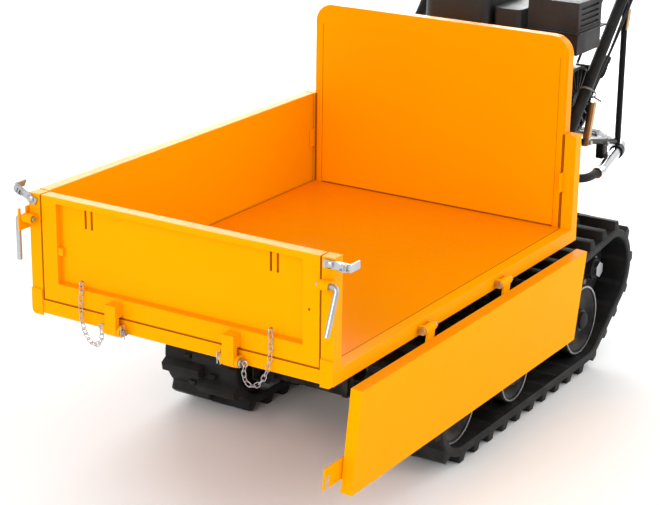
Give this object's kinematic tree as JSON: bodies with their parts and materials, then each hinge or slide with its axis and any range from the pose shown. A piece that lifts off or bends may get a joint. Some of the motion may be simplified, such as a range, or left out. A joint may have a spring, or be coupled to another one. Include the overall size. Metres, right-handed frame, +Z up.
{
  "type": "tracked power carrier",
  "caption": "Walk-behind tracked dumper: drop-side load tray that tips forward on a chassis with two rubber tracks, rear engine, gearbox and handlebars.",
  "frame": {"origin": "middle of the outline in plan, on the ground under the tracks", "axes": "+Z up; -Y is the tray's dumping end and the way the machine drives; +X is to the right for someone facing the front gate"},
  "size_m": [0.7288, 1.6904, 0.9788],
  "materials": {
    "tray_yellow": "gloss powder coat, warm yellow-orange",
    "floor_orange": "gloss powder coat on the floor and headboard",
    "frame_black": "satin black powder coat",
    "track_rubber": "moulded black rubber, matte",
    "soft_rubber": "black rubber sleeves, buffers and grips",
    "zinc": "bright zinc-plated steel",
    "guard_chrome": "bright plated tube",
    "engine_alloy": "cast aluminium, bead-blasted",
    "engine_black": "black moulded or pressed covers",
    "cast_grey": "dark grey cast iron",
    "muffler_grey": "dark grey heat-proof paint",
    "belt_rubber": "fabric-faced rubber belt",
    "cable_black": "black cable sheath",
    "rope": "braided starter rope"
  },
  "bodies": {
    "chassis": {"chassis_frame": "frame_black", "tray_pivot_shaft": "zinc", "rest_buffers": "soft_rubber", "axle_pins": "zinc", "track_left": "track_rubber", "track_right": "track_rubber", "gearbox_housing": "cast_grey", "drive_belt": "belt_rubber", "belt_guard": "frame_black", "engine_plate": "frame_black", "engine_block": "engine_alloy", "recoil_starter": "engine_black", "starter_rope": "rope", "fuel_tank": "engine_black", "air_cleaner": "engine_black", "muffler": "muffler_grey", "handlebar": "frame_black", "grips": "soft_rubber", "rear_guard": "guard_chrome", "guard_sleeves": "soft_rubber", "control_cables": "cable_black"},
    "tray": {"tray_frame": "tray_yellow", "tray_floor": "floor_orange", "headboard": "floor_orange", "tip_frame": "frame_black", "hinge_bolts": "zinc", "gate_pins": "zinc", "r_clips": "zinc", "post_sleeves": "tray_yellow", "chain_left": "zinc", "chain_right": "zinc"},
    "front_gate": {"front_gate": "tray_yellow", "chain_eyes": "zinc"},
    "side_left": {"side_left": "tray_yellow"},
    "side_right": {"side_right": "tray_yellow"},
    "handle_left": {"handle_left": "zinc"},
    "handle_right": {"handle_right": "zinc"},
    "clasp_left": {"clasp_left": "zinc"},
    "clasp_right": {"clasp_right": "zinc"},
    "sprocket_left": {"sprocket_left": "frame_black", "drive_shaft_left": "zinc"},
    "sprocket_right": {"sprocket_right": "frame_black", "drive_shaft_right": "zinc"},
    "idler_left": {"idler_left": "frame_black"},
    "idler_right": {"idler_right": "frame_black"},
    "mid_roller_left": {"mid_roller_left": "frame_black"},
    "mid_roller_right": {"mid_roller_right": "frame_black"},
    "rear_roller_left": {"rear_roller_left": "frame_black"},
    "rear_roller_right": {"rear_roller_right": "frame_black"},
    "engine_pulley": {"engine_pulley": "cast_grey"},
    "gearbox_pulley": {"gearbox_pulley": "cast_grey"},
    "starter_grip": {"starter_grip": "engine_black"},
    "fuel_cap": {"fuel_cap": "engine_black"},
    "steering_lever_left": {"steering_lever_left": "frame_black"},
    "steering_lever_right": {"steering_lever_right": "frame_black"},
    "drive_lever": {"drive_lever": "frame_black"},
    "gear_lever": {"gear_lever": "frame_black"},
    "throttle_lever": {"throttle_lever": "frame_black"}
  },
  "joints": [
    {"name": "tray_tip", "type": "hinge", "parent": "chassis", "child": "tray", "pos_m": [-0.00336, -0.33928, 0.285], "axis": [1, 0, 0], "range_deg": [0, 35]},
    {"name": "gate_drop", "type": "hinge", "parent": "tray", "child": "front_gate", "pos_m": [-0.00336, -0.80728, 0.338], "axis": [1, 0, 0], "range_deg": [0, 180], "deforming": ["chain_left", "chain_right"]},
    {"name": "side_left_drop", "type": "hinge", "parent": "tray", "child": "side_left", "pos_m": [-0.34036, -0.79428, 0.341], "axis": [0, -1, 0], "range_deg": [0, 185.2]},
    {"name": "side_right_raise", "type": "hinge", "parent": "tray", "child": "side_right", "pos_m": [0.33364, -0.79428, 0.341], "axis": [0, -1, 0], "range_deg": [0, 185.2]},
    {"name": "handle_left_turn", "type": "hinge", "parent": "tray", "child": "handle_left", "pos_m": [-0.34536, -0.80928, 0.514], "axis": [-1, 0, 0], "range_deg": [0, 180]},
    {"name": "handle_right_turn", "type": "hinge", "parent": "tray", "child": "handle_right", "pos_m": [0.33864, -0.80928, 0.514], "axis": [-1, 0, 0], "range_deg": [-22, 158]},
    {"name": "clasp_left_turn", "type": "hinge", "parent": "tray", "child": "clasp_left", "pos_m": [-0.32336, -0.79428, 0.548], "axis": [0, 1, 0], "range_deg": [-45, 65]},
    {"name": "clasp_right_turn", "type": "hinge", "parent": "tray", "child": "clasp_right", "pos_m": [0.31664, -0.79428, 0.548], "axis": [0, -1, 0], "range_deg": [-20, 90]},
    {"name": "sprocket_left_spin", "type": "hinge", "parent": "chassis", "child": "sprocket_left", "pos_m": [-0.23836, 0.36372, 0.196], "axis": [1, 0, 0], "continuous": true},
    {"name": "idler_left_spin", "type": "hinge", "parent": "chassis", "child": "idler_left", "pos_m": [-0.23836, -0.30728, 0.114], "axis": [1, 0, 0], "continuous": true},
    {"name": "mid_roller_left_spin", "type": "hinge", "parent": "chassis", "child": "mid_roller_left", "pos_m": [-0.23836, -0.05928, 0.096], "axis": [1, 0, 0], "continuous": true},
    {"name": "rear_roller_left_spin", "type": "hinge", "parent": "chassis", "child": "rear_roller_left", "pos_m": [-0.23836, 0.25372, 0.114], "axis": [1, 0, 0], "continuous": true},
    {"name": "sprocket_right_spin", "type": "hinge", "parent": "chassis", "child": "sprocket_right", "pos_m": [0.23164, 0.36372, 0.196], "axis": [1, 0, 0], "continuous": true},
    {"name": "idler_right_spin", "type": "hinge", "parent": "chassis", "child": "idler_right", "pos_m": [0.23164, -0.30728, 0.114], "axis": [1, 0, 0], "continuous": true},
    {"name": "mid_roller_right_spin", "type": "hinge", "parent": "chassis", "child": "mid_roller_right", "pos_m": [0.23164, -0.05928, 0.096], "axis": [1, 0, 0], "continuous": true},
    {"name": "rear_roller_right_spin", "type": "hinge", "parent": "chassis", "child": "rear_roller_right", "pos_m": [0.23164, 0.25372, 0.114], "axis": [1, 0, 0], "continuous": true},
    {"name": "engine_pulley_spin", "type": "hinge", "parent": "chassis", "child": "engine_pulley", "pos_m": [-0.08836, 0.36572, 0.566], "axis": [1, 0, 0], "continuous": true},
    {"name": "gearbox_pulley_spin", "type": "hinge", "parent": "chassis", "child": "gearbox_pulley", "pos_m": [-0.08836, 0.36372, 0.345], "axis": [1, 0, 0], "continuous": true},
    {"name": "starter_pull", "type": "slide", "parent": "chassis", "child": "starter_grip", "axis": [0, 0, 1], "range_m": [0, 0.3], "stiffness_N_per_m": 20, "springref_m": -0.1, "deforming": ["starter_rope"]},
    {"name": "fuel_cap_turn", "type": "hinge", "parent": "chassis", "child": "fuel_cap", "pos_m": [-0.04336, 0.36072, 0.79], "axis": [0, 0, 1], "range_deg": [0, 120]},
    {"name": "steering_lever_left_pull", "type": "hinge", "parent": "chassis", "child": "steering_lever_left", "pos_m": [-0.23536, 0.70537, 0.882], "axis": [1, 0, 0], "range_deg": [0, 7.5], "stiffness_Nm_per_rad": 3, "springref_deg": -17.19},
    {"name": "steering_lever_right_pull", "type": "hinge", "parent": "chassis", "child": "steering_lever_right", "pos_m": [0.22864, 0.70537, 0.882], "axis": [1, 0, 0], "range_deg": [0, 7.5], "stiffness_Nm_per_rad": 3, "springref_deg": -17.19},
    {"name": "drive_lever_swing", "type": "hinge", "parent": "chassis", "child": "drive_lever", "pos_m": [0.18264, 0.63172, 0.84152], "axis": [1, 0, 0], "range_deg": [-20, 40]},
    {"name": "gear_lever_swing", "type": "hinge", "parent": "chassis", "child": "gear_lever", "pos_m": [0.05664, 0.51572, 0.426], "axis": [1, 0, 0], "range_deg": [-8, 8]},
    {"name": "throttle_swing", "type": "hinge", "parent": "chassis", "child": "throttle_lever", "pos_m": [-0.17436, 0.63172, 0.84152], "axis": [1, 0, 0], "range_deg": [-30, 40]}
  ],
  "couplings": [
    {"joint": "idler_left_spin", "follows": "sprocket_left_spin", "ratio": 1},
    {"joint": "rear_roller_left_spin", "follows": "sprocket_left_spin", "ratio": 1},
    {"joint": "mid_roller_left_spin", "follows": "sprocket_left_spin", "ratio": 1.3025},
    {"joint": "idler_right_spin", "follows": "sprocket_right_spin", "ratio": 1},
    {"joint": "rear_roller_right_spin", "follows": "sprocket_right_spin", "ratio": 1},
    {"joint": "mid_roller_right_spin", "follows": "sprocket_right_spin", "ratio": 1.3025},
    {"joint": "gearbox_pulley_spin", "follows": "engine_pulley_spin", "ratio": 0.69231}
  ]
}
